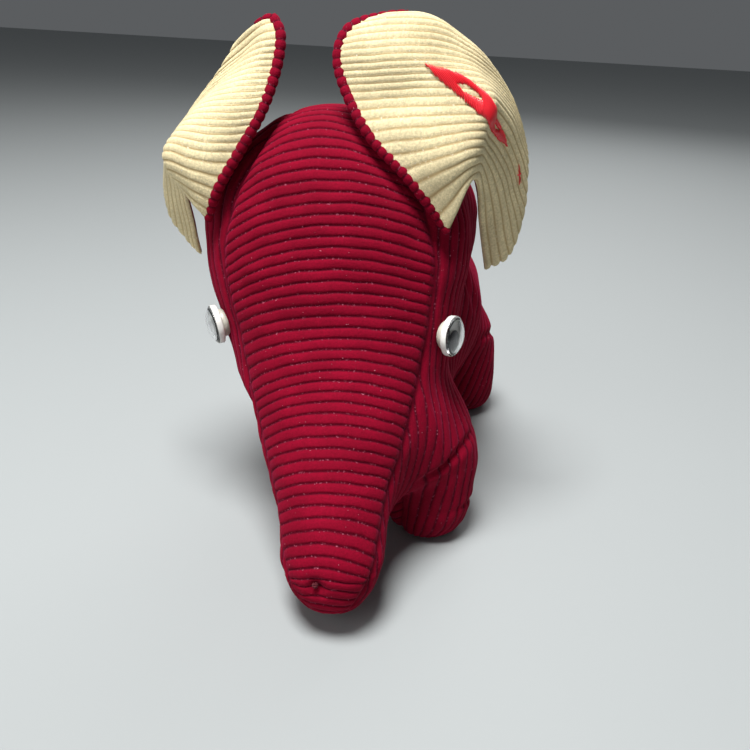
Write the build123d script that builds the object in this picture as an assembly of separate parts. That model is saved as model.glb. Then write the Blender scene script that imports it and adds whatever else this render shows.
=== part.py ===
"""Stuffed corduroy elephant: sewn cover panels, stuffing, googly eyes, hinged ears and tail.

Millimetres. The elephant stands on Z = 0 and its body faces -Y; its own left is +X.
The head and trunk turn a little to the left of the body and lean to the right, as a
softly stuffed toy does. The head is built upright and straight, then put in place.
"""
from build123d import *
import math
import os

# ---- driving dimensions -------------------------------------------------------------
CLOTH = 1.4            # wide-wale corduroy, crown of a wale to its backing
GAP = 0.2              # room left between the cloth and each wad of stuffing
HEAD_TURN = 2.0        # degrees, head towards the elephant's left
HEAD_LEAN = -7.5       # degrees, crown towards the elephant's right
HEAD_SIDE = -7.8       # the head sits this far towards the elephant's right
NECK_Y = 5.0           # vertical axis that the head turns about
LEAN_Z = 20.0          # height that the head leans about
BODY_SHIFT = Vector(15.3, -3.35, 0.0)   # puts the middle of the whole toy over the origin

# Trunk and head: (y, z, slope of the spine in degrees, half width, half depth)
TRUNK_RINGS = [
    (-75.3, 7.1, 50, 5.4, 5.4),
    (-72.7, 10.2, 50, 10.1, 9.5),
    (-68.6, 15.2, 50, 13.9, 12.0),
    (-52.5, 28.7, 50, 18.0, 15.0),
    (-32.4, 42.5, 50, 27.5, 20.5),
    (-16.0, 58.0, 60, 35.0, 25.0),
]
HEAD_RINGS = [
    (-2.0, 84.0, 75, 42.0, 30.5),
    (1.0, 106.0, 85, 38.5, 27.0),
    (0.0, 121.0, 90, 23.5, 18.0),
    (-1.0, 129.5, 90, 8.5, 7.0),
]
# Torso: (y, z, half width, half height) of upright rings along Y
TORSO_RINGS = [
    (-27.0, 50.0, 11.0, 13.0),
    (-17.0, 51.0, 24.0, 27.0),
    (-2.0, 53.0, 29.5, 33.0),
    (23.0, 54.0, 31.0, 34.0),
    (48.0, 52.5, 32.5, 33.0),
    (66.0, 51.0, 28.5, 28.0),
    (77.0, 50.5, 19.0, 19.0),
    (81.5, 50.5, 8.0, 8.0),
]
# Legs: (z, radius) of level rings; the leg leans in towards its top
FRONT_LEG_RINGS = [(0.0, 9.3), (2.5, 12.3), (8.0, 14.2), (26.0, 16.6), (42.0, 16.6), (56.0, 9.0)]
HIND_LEG_RINGS = [(0.0, 10.9), (2.5, 14.6), (8.0, 16.5), (26.0, 17.6), (42.0, 17.0), (56.0, 9.0)]
SOLE_ROUNDING = 8.0            # height over which the foot rounds into its sole
FRONT_FOOT = (19.2, -22.0)     # x, y of the left foot
FRONT_HIP = (16.3, -12.0)      # x, y of the same leg at its top
HIND_FOOT = (27.0, 69.0)
HIND_HIP = (18.0, 58.0)
# Head gusset: (z, half width) of its two seams, seen from the front
GUSSET_SEAM = [(2.0, 9.0), (20.0, 12.0), (30.0, 15.5), (46.0, 20.5), (69.0, 27.5),
               (94.0, 31.0), (106.0, 28.0), (119.0, 20.0), (131.0, 10.0)]
NAPE = (38.0, 100.0)           # y and lowest z of the gusset's pointed back end
NAPE_CREASE = 27.0             # y of the crease where the back seam of the body starts
UNDER_EDGE = (19.0, 27.0)      # half width of the belly piece at the front and the hind feet
UNDER_TOP = 31.0               # height that the belly piece reaches up the legs

EYE_RADIUS = 6.0
EYE_WALL = 0.8
EYE_BASE = 0.9                 # thickness of the cup's floor
EYE_CUP_HEIGHT = 1.9
EYE_DOME_HEIGHT = 2.3
# Each eye: a point of the cheek, the way it looks, and how far its back stands off
EYE_LEFT = ((32.9, -23.2, 64.5), Vector(0.90, -0.43, 0.0), 0.9)
EYE_RIGHT = ((-35.8, -18.6, 69.7), Vector(-0.88, -0.48, -0.04), 0.45)
PUPIL_RADIUS = 3.3
PUPIL_THICKNESS = 0.7
GLUE_RADIUS = 4.2

EAR_SWING = (-6.0, 24.0)       # degrees about the ear's own seam, backwards and forwards
EAR_LAYER = 1.35               # thickness of each of the ear's two cloth layers
EMBROIDERY = 0.5               # thickness of the satin stitch
# Each ear: control points of a smooth sheet, in rows from its lower corner to its tip,
# each row from the inner edge that is sewn to the head out to the hem
EAR_LEFT = [
    [(34.5, -20.0, 94), (40.0, -13, 93), (46.0, -3, 86), (49, 6.0, 76)],
    [(25.0, -21.0, 109), (42.0, -20, 108), (48.0, -2, 97), (53, 9.0, 80)],
    [(13.0, -17.0, 122), (46.0, -18, 122), (53.0, -2, 110), (59, 11.0, 92)],
    [(5.0, -11.5, 132), (44.0, -15, 132), (55.0, -3, 122), (62, 7.0, 107)],
    [(2.0, -8.0, 142), (37.0, -11, 141), (52.0, -3, 133), (60, 4.0, 120)],
    [(8.0, -5.0, 150), (31.0, -5.5, 149), (44.0, -2, 143), (52, 2.5, 133)],
    [(18.0, -3.0, 150), (27.0, -2, 149.5), (35.0, 0, 146.5), (41, 2.0, 141)],
]
EAR_RIGHT = [
    [(34.5, -17.0, 101), (40.0, -10, 99), (45.5, -1, 90), (49, 8.0, 76)],
    [(29.5, -18.5, 110), (45.0, -16, 112), (50.0, 0, 101), (54, 9.5, 85)],
    [(22.0, -16.5, 120), (44.0, -14, 123), (52.0, 0, 114), (58, 9.0, 99)],
    [(13.0, -12.0, 130), (33.0, -13, 131), (47.0, -2, 126), (55, 6.0, 115)],
    [(8.5, -8.0, 141), (21.0, -8, 140), (34.0, -2, 136), (45, 3.0, 128)],
    [(8.0, -5.0, 150), (15.0, -5, 149), (24.0, -2, 145), (32, 2.0, 139)],
    [(11.0, -2.0, 153), (14.5, -1.5, 152.5), (19.0, 0, 150), (23.5, 1.5, 147)],
]
# Embroidered leaf on the left ear, seen from the front: (x, z) of its outline
LEAF = [(24.0, 137.5), (32.0, 135.0), (38.5, 129.0), (42.5, 121.5), (35.5, 124.0), (29.5, 129.5)]

TAIL_TOP = (83.4, 57.0)        # y, z of the tail's seam
TAIL_LENGTH = 40.0
TAIL_WIDTH = 9.0
TAIL_THICKNESS = 3.6
TAIL_SWING = (-4.0, 75.0)

STITCHES = 11                  # ladder stitches that close the belly
STITCH_PITCH = 3.4
STITCH_LENGTH = 4.0
THREAD = 0.3                   # radius of the closing thread
FAR = 200.0                    # longer than the toy
CRUMB = 0.2                    # volume under which a scrap of a cut is no piece


# ---- placing ------------------------------------------------------------------------
def placed_head(shape):
    """Lean and turn a shape of the straight, upright head."""
    lean = Pos(0, 0, LEAN_Z) * Rot(0, HEAD_LEAN, 0) * Pos(0, 0, -LEAN_Z)
    turn = Pos(HEAD_SIDE, NECK_Y, 0) * Rot(0, 0, HEAD_TURN) * Pos(0, -NECK_Y, 0)
    return turn * lean * shape


def mirrored(shape, side):
    return shape if side > 0 else mirror(shape, about=Plane.YZ)


# ---- stuffed forms ------------------------------------------------------------------
def ring(y, z, slope, half_width, half_depth):
    """An ellipse square to a spine that climbs at the given slope."""
    angle = math.radians(slope)
    plane = Plane(origin=(0, y, z), x_dir=(1, 0, 0), z_dir=(0, math.cos(angle), math.sin(angle)))
    return plane * Ellipse(half_width, half_depth)


def shortened(rings, inset):
    """The first and last rings moved inwards along their own spine by the inset."""
    out = [list(r) for r in rings]
    for end, way in ((0, 1), (-1, -1)):
        angle = math.radians(out[end][2])
        out[end][0] += way * inset * math.cos(angle)
        out[end][1] += way * inset * math.sin(angle)
    return out


def head_form(inset):
    rings = shortened(TRUNK_RINGS + HEAD_RINGS, inset)
    return loft([ring(y, z, s, a - inset, b - inset) for y, z, s, a, b in rings])


def torso_form(inset):
    rings = [[y, z, 0, a, b] for y, z, a, b in TORSO_RINGS]
    return loft([ring(y, z, s, a - inset, b - inset) for y, z, s, a, b in shortened(rings, inset)])


def leg_form(rings, foot, hip, side, inset):
    top = rings[-1][0]
    sections = []
    for z, radius in rings:
        share = z / top
        x = foot[0] + (hip[0] - foot[0]) * share
        y = foot[1] + (hip[1] - foot[1]) * share
        height = z + inset * max(0.0, 1 - z / SOLE_ROUNDING)
        if z == top:
            height = top - inset
        sections.append(Pos(side * x, y, height) * Circle(radius - inset))
    return loft(sections)


LEGS = {
    "front_left": (FRONT_LEG_RINGS, FRONT_FOOT, FRONT_HIP, 1),
    "front_right": (FRONT_LEG_RINGS, FRONT_FOOT, FRONT_HIP, -1),
    "hind_left": (HIND_LEG_RINGS, HIND_FOOT, HIND_HIP, 1),
    "hind_right": (HIND_LEG_RINGS, HIND_FOOT, HIND_HIP, -1),
}


def whole_form(inset):
    form = placed_head(head_form(inset)) + torso_form(inset)
    for leg in LEGS.values():
        form = form + leg_form(*leg, inset)
    return form


# ---- cover --------------------------------------------------------------------------
def prism_from_front(points):
    """A solid with an (x, z) outline, long enough in Y to cut the whole toy."""
    face = Plane.XZ * make_face(Polyline(*points, close=True))
    return extrude(face, amount=FAR, both=True)


def gusset_cutter():
    right = [(-w, z) for z, w in GUSSET_SEAM]
    left = [(w, z) for z, w in reversed(GUSSET_SEAM)]
    wide = prism_from_front(right + [(-10, 150), (10, 150)] + left)
    spine = [(y, z) for y, z, *_ in TRUNK_RINGS + HEAD_RINGS]
    front = [(-FAR, -10), (spine[0][0] - 10, -10)] + spine + [(-1.0, 160), (-FAR, 160)]
    ahead = extrude(Plane.YZ * make_face(Polyline(*front, close=True)), amount=FAR, both=True)
    top_width = GUSSET_SEAM[-1][1]
    nape = make_face(Polyline((-top_width, -1), (top_width, -1), (0, NAPE[0]), close=True))
    back = extrude(Plane.XY.offset(NAPE[1]) * nape, amount=80)
    return placed_head(wide & ahead) + placed_head(back)


def left_cutter():
    """Everything on the left of the seams under the trunk, over the nape and along the back."""
    left = Pos(FAR, 0, 0) * Box(2 * FAR, 2 * FAR, 2 * FAR)
    ahead = Pos(0, NAPE_CREASE - FAR, 0) * Box(4 * FAR, 2 * FAR, 4 * FAR)
    return (placed_head(left) & ahead) + (left - ahead)


def cover_panels(cover):
    gusset_tool = gusset_cutter()
    left_tool = left_cutter()
    front, back = FRONT_FOOT[1] - 25, HIND_FOOT[1] + 25
    outline = make_face(Polyline((-UNDER_EDGE[0], front), (UNDER_EDGE[0], front), (UNDER_EDGE[1], back),
                                 (-UNDER_EDGE[1], back), close=True))
    under_tool = Pos(0, 0, -4) * extrude(outline, amount=UNDER_TOP + 4)
    body_left = Pos(FAR, 0, 0) * Box(2 * FAR, 2 * FAR, 2 * FAR)
    rest = cover - gusset_tool
    sides = rest - under_tool
    under = rest & under_tool
    return {
        "head_gusset": cover & gusset_tool,
        "side_panel_left": sides & left_tool,
        "side_panel_right": sides - left_tool,
        "under_gusset_left": under & body_left,
        "under_gusset_right": under - body_left,
    }


# ---- stuffing -----------------------------------------------------------------------
def stuffing():
    snug = CLOTH + GAP
    split_y, split_z, slope = TRUNK_RINGS[-1][:3]
    angle = math.radians(slope)
    root = Plane(origin=(0, split_y, split_z), x_dir=(1, 0, 0),
                 z_dir=(0, math.cos(angle), math.sin(angle)))
    above = extrude(root.offset(GAP / 2) * Rectangle(FAR, FAR), amount=FAR)
    below = extrude(root.offset(-GAP / 2) * Rectangle(FAR, FAR), amount=-FAR)
    head = head_form(snug)
    head_room = placed_head(head_form(CLOTH))
    wads = {
        "stuffing_head": placed_head(head & above),
        "stuffing_trunk": placed_head(head & below),
        "stuffing_body": torso_form(snug) - head_room,
    }
    torso_room = torso_form(CLOTH)
    for name, leg in LEGS.items():
        wads["stuffing_leg_" + name] = leg_form(*leg, snug) - torso_room - head_room
    return wads


# ---- eyes ---------------------------------------------------------------------------
def eye_parts(side, outer):
    """Cup, dome and loose pupil, built on +Z and stood on the cheek."""
    point, way, stand_off = EYE_LEFT if side > 0 else EYE_RIGHT
    normal = way.normalized()
    head = head_form(0)
    inside = Vector(point) - normal * 15
    hits = head.find_intersection_points(Axis(inside, normal))
    surface = max((point for point, _ in hits), key=lambda p: (p - inside).dot(normal))
    seat = surface + normal * stand_off
    plane = Plane(origin=seat, x_dir=Vector(0, 0, 1).cross(normal), z_dir=normal)
    cup = Cylinder(EYE_RADIUS, EYE_CUP_HEIGHT, align=(Align.CENTER, Align.CENTER, Align.MIN))
    room = Pos(0, 0, EYE_BASE) * Cylinder(EYE_RADIUS - EYE_WALL, EYE_CUP_HEIGHT,
                                          align=(Align.CENTER, Align.CENTER, Align.MIN))
    cup = cup - room
    ball = (EYE_RADIUS ** 2 + EYE_DOME_HEIGHT ** 2) / (2 * EYE_DOME_HEIGHT)
    centre = EYE_CUP_HEIGHT + EYE_DOME_HEIGHT - ball
    slab = Pos(0, 0, EYE_CUP_HEIGHT) * Cylinder(EYE_RADIUS, 10,
                                                align=(Align.CENTER, Align.CENTER, Align.MIN))
    dome = (Pos(0, 0, centre) * (Sphere(ball) - Sphere(ball - EYE_WALL))) & slab
    drop = EYE_RADIUS - EYE_WALL - PUPIL_RADIUS - 0.25
    pupil = Pos(0, -drop, EYE_BASE + 0.25) * Cylinder(PUPIL_RADIUS, PUPIL_THICKNESS,
                                                      align=(Align.CENTER, Align.CENTER, Align.MIN))
    glue = Pos(0, 0, -6) * Cylinder(GLUE_RADIUS, 6, align=(Align.CENTER, Align.CENTER, Align.MIN))
    word = "left" if side > 0 else "right"
    parts = {
        "eye_cup_" + word: placed_head(plane * cup),
        "eye_dome_" + word: placed_head(plane * dome),
        "eye_pupil_" + word: placed_head(plane * pupil),
        "eye_glue_" + word: placed_head(plane * glue) - outer,
    }
    pin = placed_head(Edge.make_line(seat, seat + normal * 10))
    return parts, pin


# ---- ears ---------------------------------------------------------------------------
def ear_sheet(rows, side):
    """The stitched face between the two layers of an ear."""
    return Face.make_bezier_surface([[Vector(x * side, y, z) for x, y, z in row] for row in rows])


def ear_layer(sheet, amount):
    return Solid.thicken(sheet, amount)


def ear_parts(side, outer):
    rows = EAR_LEFT if side > 0 else EAR_RIGHT
    word = "left" if side > 0 else "right"
    sheet = ear_sheet(rows, side)
    facing = sheet.normal_at(sheet.center()).Y < 0
    front = EAR_LAYER if facing else -EAR_LAYER
    low = sheet.position_at(0, 0)
    high = sheet.position_at(0.5, 0)
    seam = Axis(low, high - low)
    swing = [-angle * side for angle in EAR_SWING]
    body = head_form(-0.6)
    keep_out = [body.rotate(seam, -angle) for angle in (swing[0], 0, swing[1])]
    parts = {
        "ear_lining_" + word: ear_layer(sheet, front),
        "ear_back_" + word: ear_layer(sheet, -front),
    }
    if side > 0:
        thread = ear_layer(sheet, front * (1 + EMBROIDERY / EAR_LAYER)) - ear_layer(sheet, front)
        leaf = prism_from_front(LEAF)
        parts["ear_embroidery"] = thread & leaf
    for name, part in parts.items():
        for blocked in keep_out:
            part = part - blocked
        parts[name] = placed_head(part)
    return parts, placed_head(Edge.make_line(low, high))


# ---- tail and threads ---------------------------------------------------------------
def tail():
    y, z = TAIL_TOP
    top = Pos(0, y, z) * Ellipse(TAIL_WIDTH / 2, TAIL_THICKNESS / 2)
    middle = Pos(0, y + 1.5, z - 0.6 * TAIL_LENGTH) * Ellipse(TAIL_WIDTH / 2, TAIL_THICKNESS / 2)
    end = Pos(0, y + 1.0, z - TAIL_LENGTH) * Ellipse(TAIL_WIDTH / 3, TAIL_THICKNESS / 3)
    return loft([end, middle, top])


def belly_thread(outer):
    """Short straight stitches across the seam that closes the belly."""
    first = 25.0 - STITCH_PITCH * (STITCHES - 1) / 2
    stitches = []
    for count in range(STITCHES):
        y = first + count * STITCH_PITCH
        hits = outer.find_intersection_points(Axis((0, y, -5), (0, 0, 1)))
        low = min(point.Z for point, _ in hits)
        stitches.append(Pos(0, y, low - THREAD - 0.12) * Rot(0, 90, 0) * Cylinder(THREAD, STITCH_LENGTH))
    return Compound(children=stitches)


def tip_knot():
    """The knot that pulls the end of the trunk shut."""
    y, z, slope = TRUNK_RINGS[0][:3]
    angle = math.radians(slope)
    reach = 0.95
    return placed_head(Pos(0, y - reach * math.cos(angle), z - reach * math.sin(angle)) * Sphere(0.9))


# ---- whole toy ----------------------------------------------------------------------
outer_form = whole_form(0)
nodes = cover_panels(outer_form - whole_form(CLOTH))
nodes.update(stuffing())
axes = {}
for way in (1, -1):
    label = "left" if way > 0 else "right"
    eye, eye_pin = eye_parts(way, outer_form)
    ear, ear_seam = ear_parts(way, outer_form)
    nodes.update(eye)
    nodes.update(ear)
    axes["pupil_" + label] = eye_pin
    axes["ear_" + label] = ear_seam
nodes["tail"] = tail()
nodes["belly_thread"] = belly_thread(outer_form)
nodes["trunk_tip_knot"] = tip_knot()

os.makedirs("parts", exist_ok=True)
low_corner = Vector(FAR, FAR, FAR)
high_corner = Vector(-FAR, -FAR, -FAR)
for name, shape in nodes.items():
    solids = [solid.moved(Location(BODY_SHIFT)) for solid in shape.solids() if solid.volume > CRUMB]
    made = solids[0] if len(solids) == 1 else Compound(children=solids)
    box = made.bounding_box()
    low_corner = Vector(*(min(a, b) for a, b in zip(low_corner, box.min)))
    high_corner = Vector(*(max(a, b) for a, b in zip(high_corner, box.max)))
    export_step(made, "parts/" + name + ".step")
print("box", low_corner, high_corner)
for name, edge in axes.items():
    moved = edge.moved(Location(BODY_SHIFT))
    start, end = moved @ 0, moved @ 1
    print(name, "at", start, "axis", (end - start).normalized())
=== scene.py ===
"""Looks of the stuffed corduroy elephant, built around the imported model.

Lengths are millimetres until a mesh is made; Blender's metres come in at mesh_object().
The cover is made as one straight, upright form, puffed by a cloth simulation, cut into
its sewn panels, given its wales, and only then bent so that the head turns and leans.
"""
import math

import bpy
import numpy as np
from mathutils import Matrix


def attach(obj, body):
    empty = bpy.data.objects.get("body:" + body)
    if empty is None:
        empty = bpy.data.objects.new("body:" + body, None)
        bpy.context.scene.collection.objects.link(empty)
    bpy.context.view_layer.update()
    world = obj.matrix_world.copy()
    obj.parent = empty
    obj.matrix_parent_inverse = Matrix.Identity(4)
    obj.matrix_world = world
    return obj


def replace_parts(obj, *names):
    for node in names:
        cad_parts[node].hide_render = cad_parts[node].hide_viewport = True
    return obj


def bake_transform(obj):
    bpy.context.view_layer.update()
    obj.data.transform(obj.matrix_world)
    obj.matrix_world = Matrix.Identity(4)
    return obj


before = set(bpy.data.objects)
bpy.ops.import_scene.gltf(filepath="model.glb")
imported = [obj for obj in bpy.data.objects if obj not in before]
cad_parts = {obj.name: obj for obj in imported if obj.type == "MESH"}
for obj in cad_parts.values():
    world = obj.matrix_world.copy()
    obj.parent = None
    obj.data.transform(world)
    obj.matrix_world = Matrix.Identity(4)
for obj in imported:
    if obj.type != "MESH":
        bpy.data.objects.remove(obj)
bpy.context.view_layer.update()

MM = 0.001
RNG = np.random.default_rng(7)

# ---- the design, as the CAD model has it ------------------------------------------------
HEAD_TURN = math.radians(2.0)
HEAD_LEAN = math.radians(-7.5)
HEAD_SIDE = -7.8
NECK_Y = 5.0
LEAN_Z = 20.0
SHIFT = np.array([15.3, -3.35, 0.0])

# (y, z, slope of the spine, half width, half depth)
HEAD_RINGS = [
    (-76.6, 5.6, 50, 5.0, 5.0),
    (-73.6, 9.2, 50, 10.6, 9.9),
    (-68.9, 14.9, 50, 14.3, 12.4),
    (-52.5, 28.7, 50, 18.2, 15.2),
    (-32.4, 42.5, 50, 27.6, 20.6),
    (-16.0, 58.0, 60, 35.0, 25.0),
    (-2.0, 84.0, 75, 42.0, 30.5),
    (1.0, 106.0, 85, 38.7, 27.2),
    (0.0, 121.0, 90, 24.5, 18.7),
    (-1.0, 129.4, 90, 9.0, 7.5),
]
# (y, z, half width, half height)
TORSO_RINGS = [
    (-27.0, 50.0, 11.0, 13.0),
    (-17.0, 51.0, 24.0, 27.0),
    (-2.0, 53.0, 29.5, 33.0),
    (23.0, 54.0, 31.0, 34.0),
    (48.0, 52.5, 32.5, 33.0),
    (66.0, 51.0, 28.5, 28.0),
    (77.0, 50.5, 19.0, 19.0),
    (82.0, 50.5, 8.0, 8.0),
]
# (z, radius) of each leg, from the sole up to where it ends inside the body
LEG_TOP = 56.0
FRONT_LEG = [(-0.8, 9.3), (2.0, 12.8), (8.0, 14.9), (26.0, 16.9), (42.0, 16.6), (LEG_TOP, 9.0)]
HIND_LEG = [(-0.8, 10.9), (2.0, 15.0), (8.0, 17.1), (26.0, 17.9), (42.0, 17.0), (LEG_TOP, 9.0)]
FRONT_FOOT, FRONT_HIP = (19.2, -22.0), (16.3, -12.0)
HIND_FOOT, HIND_HIP = (27.0, 69.0), (18.0, 58.0)
# Chord from the middle of the head gusset to its seam, at each point of the middle line
SEAM_CHORD = [2.0, 8.5, 12.3, 14.6, 19.0, 25.5, 29.6, 33.0, 28.6, 20.9, 13.5, 9.5, 6.0, 1.0]
UNDER_EDGE = (12.5, 21.0)
UNDER_TOP = 31.0
CHEST_Y = -41.0
KNOT = np.array([-2.8, -79.5, 18.0])     # near here the end of the trunk is drawn shut

RED_PITCH = 3.1
CREAM_PITCH = 2.3
BEAD_PITCH = 2.5               # wales of the back cloth where it is rolled over the ear's edge
RED_PILE = 0.48                # height of the red wales
CREAM_PILE = 0.36

EAR_SEAM_DEPTH = 1.5           # how far the sewn-on ears draw the head in, which leaves them room to flop

FAR = 99.0                     # stands for no seam anywhere near
VOXEL = 3.6                    # grid of the simulated cover
PUFF_CAP = 2.2                 # farthest that the simulation may move a point
FINE_LEVELS = 3


# ---- small tools --------------------------------------------------------------------------
def smoothstep(x, low, high):
    t = np.clip((np.asarray(x, float) - low) / (high - low), 0.0, 1.0)
    return t * t * (3 - 2 * t)


def catmull(values, steps):
    """Rows of numbers joined by a smooth curve, with the given steps from row to row."""
    v = np.asarray(values, float)
    padded = np.vstack([2 * v[0] - v[1], v, 2 * v[-1] - v[-2]])
    t = np.arange(steps)[:, None] / steps
    out = []
    for i in range(1, len(padded) - 2):
        a, b, c, d = padded[i - 1], padded[i], padded[i + 1], padded[i + 2]
        out.append(0.5 * (2 * b + (c - a) * t + (2 * a - 5 * b + 4 * c - d) * t**2
                          + (3 * b - a - 3 * c + d) * t**3))
    return np.vstack(out + [v[-1:]])


def mesh_object(name, verts, faces, smooth=True):
    """An object from millimetre points already in their final place."""
    mesh = bpy.data.meshes.new(name)
    mesh.from_pydata((np.asarray(verts) * MM).tolist(), [], [list(map(int, f)) for f in faces])
    mesh.update()
    if smooth:
        mesh.polygons.foreach_set("use_smooth", [True] * len(mesh.polygons))
    obj = bpy.data.objects.new(name, mesh)
    bpy.context.scene.collection.objects.link(obj)
    return obj


def evaluated_arrays(obj):
    """Points, quads and normals of an object with its modifiers, in millimetres."""
    graph = bpy.context.evaluated_depsgraph_get()
    mesh = obj.evaluated_get(graph).to_mesh()
    verts = np.empty(len(mesh.vertices) * 3)
    mesh.vertices.foreach_get("co", verts)
    normals = np.empty(len(mesh.vertices) * 3)
    mesh.vertex_normals.foreach_get("vector", normals)
    loops = np.empty(len(mesh.loops), int)
    mesh.loops.foreach_get("vertex_index", loops)
    sizes = np.empty(len(mesh.polygons), int)
    mesh.polygons.foreach_get("loop_total", sizes)
    starts = np.concatenate([[0], np.cumsum(sizes)[:-1]])
    faces = [loops[s:s + n] for s, n in zip(starts, sizes)] if (sizes != 4).any() \
        else loops.reshape(-1, 4)
    return verts.reshape(-1, 3) / MM, faces, normals.reshape(-1, 3)


def remove(obj):
    mesh = obj.data
    bpy.data.objects.remove(obj)
    bpy.data.meshes.remove(mesh)


def tube(rings):
    """Closed tube through rings of points, each ring an array (n, 3)."""
    count = len(rings[0])
    verts = np.vstack(rings + [rings[0].mean(0)[None], rings[-1].mean(0)[None]])
    faces = []
    for r in range(len(rings) - 1):
        for k in range(count):
            n = (k + 1) % count
            faces.append((r * count + k, r * count + n, (r + 1) * count + n, (r + 1) * count + k))
    first, last = len(verts) - 2, len(verts) - 1
    base = (len(rings) - 1) * count
    for k in range(count):
        n = (k + 1) % count
        faces.append((first, n, k))
        faces.append((last, base + k, base + n))
    return verts, faces


def grid_faces(rows, cols, offset=0, wrap=False):
    faces = []
    for r in range(rows - 1):
        for c in range(cols if wrap else cols - 1):
            n = (c + 1) % cols
            a, b = offset + r * cols, offset + (r + 1) * cols
            faces.append((a + c, a + n, b + n, b + c))
    return faces


# ---- bending the straight toy into its pose --------------------------------------------------
def placed_head(p):
    """Lean and turn points of the straight head, as the CAD model does."""
    x, y, z = p[:, 0], p[:, 1], p[:, 2] - LEAN_Z
    xl = x * math.cos(HEAD_LEAN) + z * math.sin(HEAD_LEAN)
    zl = -x * math.sin(HEAD_LEAN) + z * math.cos(HEAD_LEAN) + LEAN_Z
    yl = y - NECK_Y
    xt = xl * math.cos(HEAD_TURN) - yl * math.sin(HEAD_TURN) + HEAD_SIDE
    yt = xl * math.sin(HEAD_TURN) + yl * math.cos(HEAD_TURN) + NECK_Y
    return np.stack([xt, yt, zl], 1)


def head_share(p):
    """1 on the head and trunk, 0 on the body and legs, smooth through the neck."""
    y, z = p[:, 1], p[:, 2]
    rise = z + 1.6 * np.maximum(0.0, -y - 35.0)
    return smoothstep(rise, 24, 56) * (1 - smoothstep(y, 0, 32))


def posed(p):
    share = head_share(p)[:, None]
    return p * (1 - share) + placed_head(p) * share + SHIFT


def posed_head(p):
    return placed_head(np.atleast_2d(p)) + SHIFT


# ---- the stuffed cover ------------------------------------------------------------------------
def ellipse_rings(rings, sides=40, steps=6):
    rings = catmull(rings, steps)
    angles = np.arange(sides) / sides * 2 * math.pi
    out = []
    for y, z, slope, a, b in rings:
        s, c = math.sin(math.radians(slope)), math.cos(math.radians(slope))
        across, up = a * np.sin(angles), b * np.cos(angles)
        out.append(np.stack([across, y - s * up, z + c * up], 1))
    return out


def leg_rings(table, foot, hip, side, sides=32, steps=5):
    rings = catmull(table, steps)
    angles = np.arange(sides) / sides * 2 * math.pi
    out = []
    for z, radius in rings:
        share = z / table[-1][0]
        x = foot[0] + (hip[0] - foot[0]) * share
        y = foot[1] + (hip[1] - foot[1]) * share
        out.append(np.stack([side * x + radius * np.sin(angles), y + radius * np.cos(angles),
                             np.full(sides, z)], 1))
    return out


def raw_form():
    parts = [tube(ellipse_rings(HEAD_RINGS)),
             tube(ellipse_rings([(y, z, 0, a, b) for y, z, a, b in TORSO_RINGS]))]
    for side in (1, -1):
        parts.append(tube(leg_rings(FRONT_LEG, FRONT_FOOT, FRONT_HIP, side)))
        parts.append(tube(leg_rings(HIND_LEG, HIND_FOOT, HIND_HIP, side)))
    verts, faces = [], []
    for v, f in parts:
        base = sum(len(x) for x in verts)
        verts.append(v)
        faces += [tuple(i + base for i in face) for face in f]
    return mesh_object("raw_form", np.vstack(verts), faces)


def relaxed(verts, edges, rounds, factor):
    """Points eased towards the mean of their neighbours."""
    a, b = edges[:, 0], edges[:, 1]
    count = np.bincount(a, minlength=len(verts)) + np.bincount(b, minlength=len(verts))
    for _ in range(rounds):
        total = [np.bincount(a, verts[b, k], len(verts)) + np.bincount(b, verts[a, k], len(verts))
                 for k in range(3)]
        verts = verts + factor * (np.stack(total, 1) / count[:, None] - verts)
    return verts


def quad_edges(faces):
    pairs = np.vstack([np.stack([faces[:, i], faces[:, (i + 1) % 4]], 1) for i in range(4)])
    return np.unique(np.sort(pairs, 1), axis=0)


def puffed(obj, start):
    """Cloth simulation with pressure, each point held near where it started."""
    cloth = obj.modifiers.new("Cloth", "CLOTH")
    cloth.settings.quality = 6
    cloth.settings.use_pressure = True
    cloth.settings.uniform_pressure_force = 4.0
    cloth.settings.effector_weights.gravity = 0.0
    cloth.settings.bending_stiffness = 0.4
    cloth.point_cache.frame_start = 1
    cloth.point_cache.frame_end = 20
    scene = bpy.context.scene
    for number in range(1, 21):
        scene.frame_set(number)
    verts, _, _ = evaluated_arrays(obj)
    obj.modifiers.remove(cloth)
    scene.frame_set(1)
    move = verts - start
    far = np.linalg.norm(move, axis=1, keepdims=True)
    return start + move * np.minimum(1.0, PUFF_CAP / np.maximum(far, 1e-6))


def cover_form():
    """Fine quad mesh of the whole straight cover: points, quads, normals."""
    raw = raw_form()
    remesh = raw.modifiers.new("Union", "REMESH")
    remesh.mode = "VOXEL"
    remesh.voxel_size = VOXEL * MM
    verts, faces, _ = evaluated_arrays(raw)
    remove(raw)
    faces = np.array([f for f in faces if len(f) == 4])
    verts = relaxed(verts, quad_edges(faces), 5, 0.5)
    coarse = mesh_object("coarse_form", verts, faces)
    verts = puffed(coarse, verts)
    verts = relaxed(verts, quad_edges(faces), 1, 0.3)
    coarse.data.vertices.foreach_set("co", (verts * MM).ravel())
    coarse.data.update()
    fine = coarse.modifiers.new("Fine", "SUBSURF")
    fine.levels = FINE_LEVELS
    fine.render_levels = FINE_LEVELS
    out = evaluated_arrays(coarse)
    remove(coarse)
    return out


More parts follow.
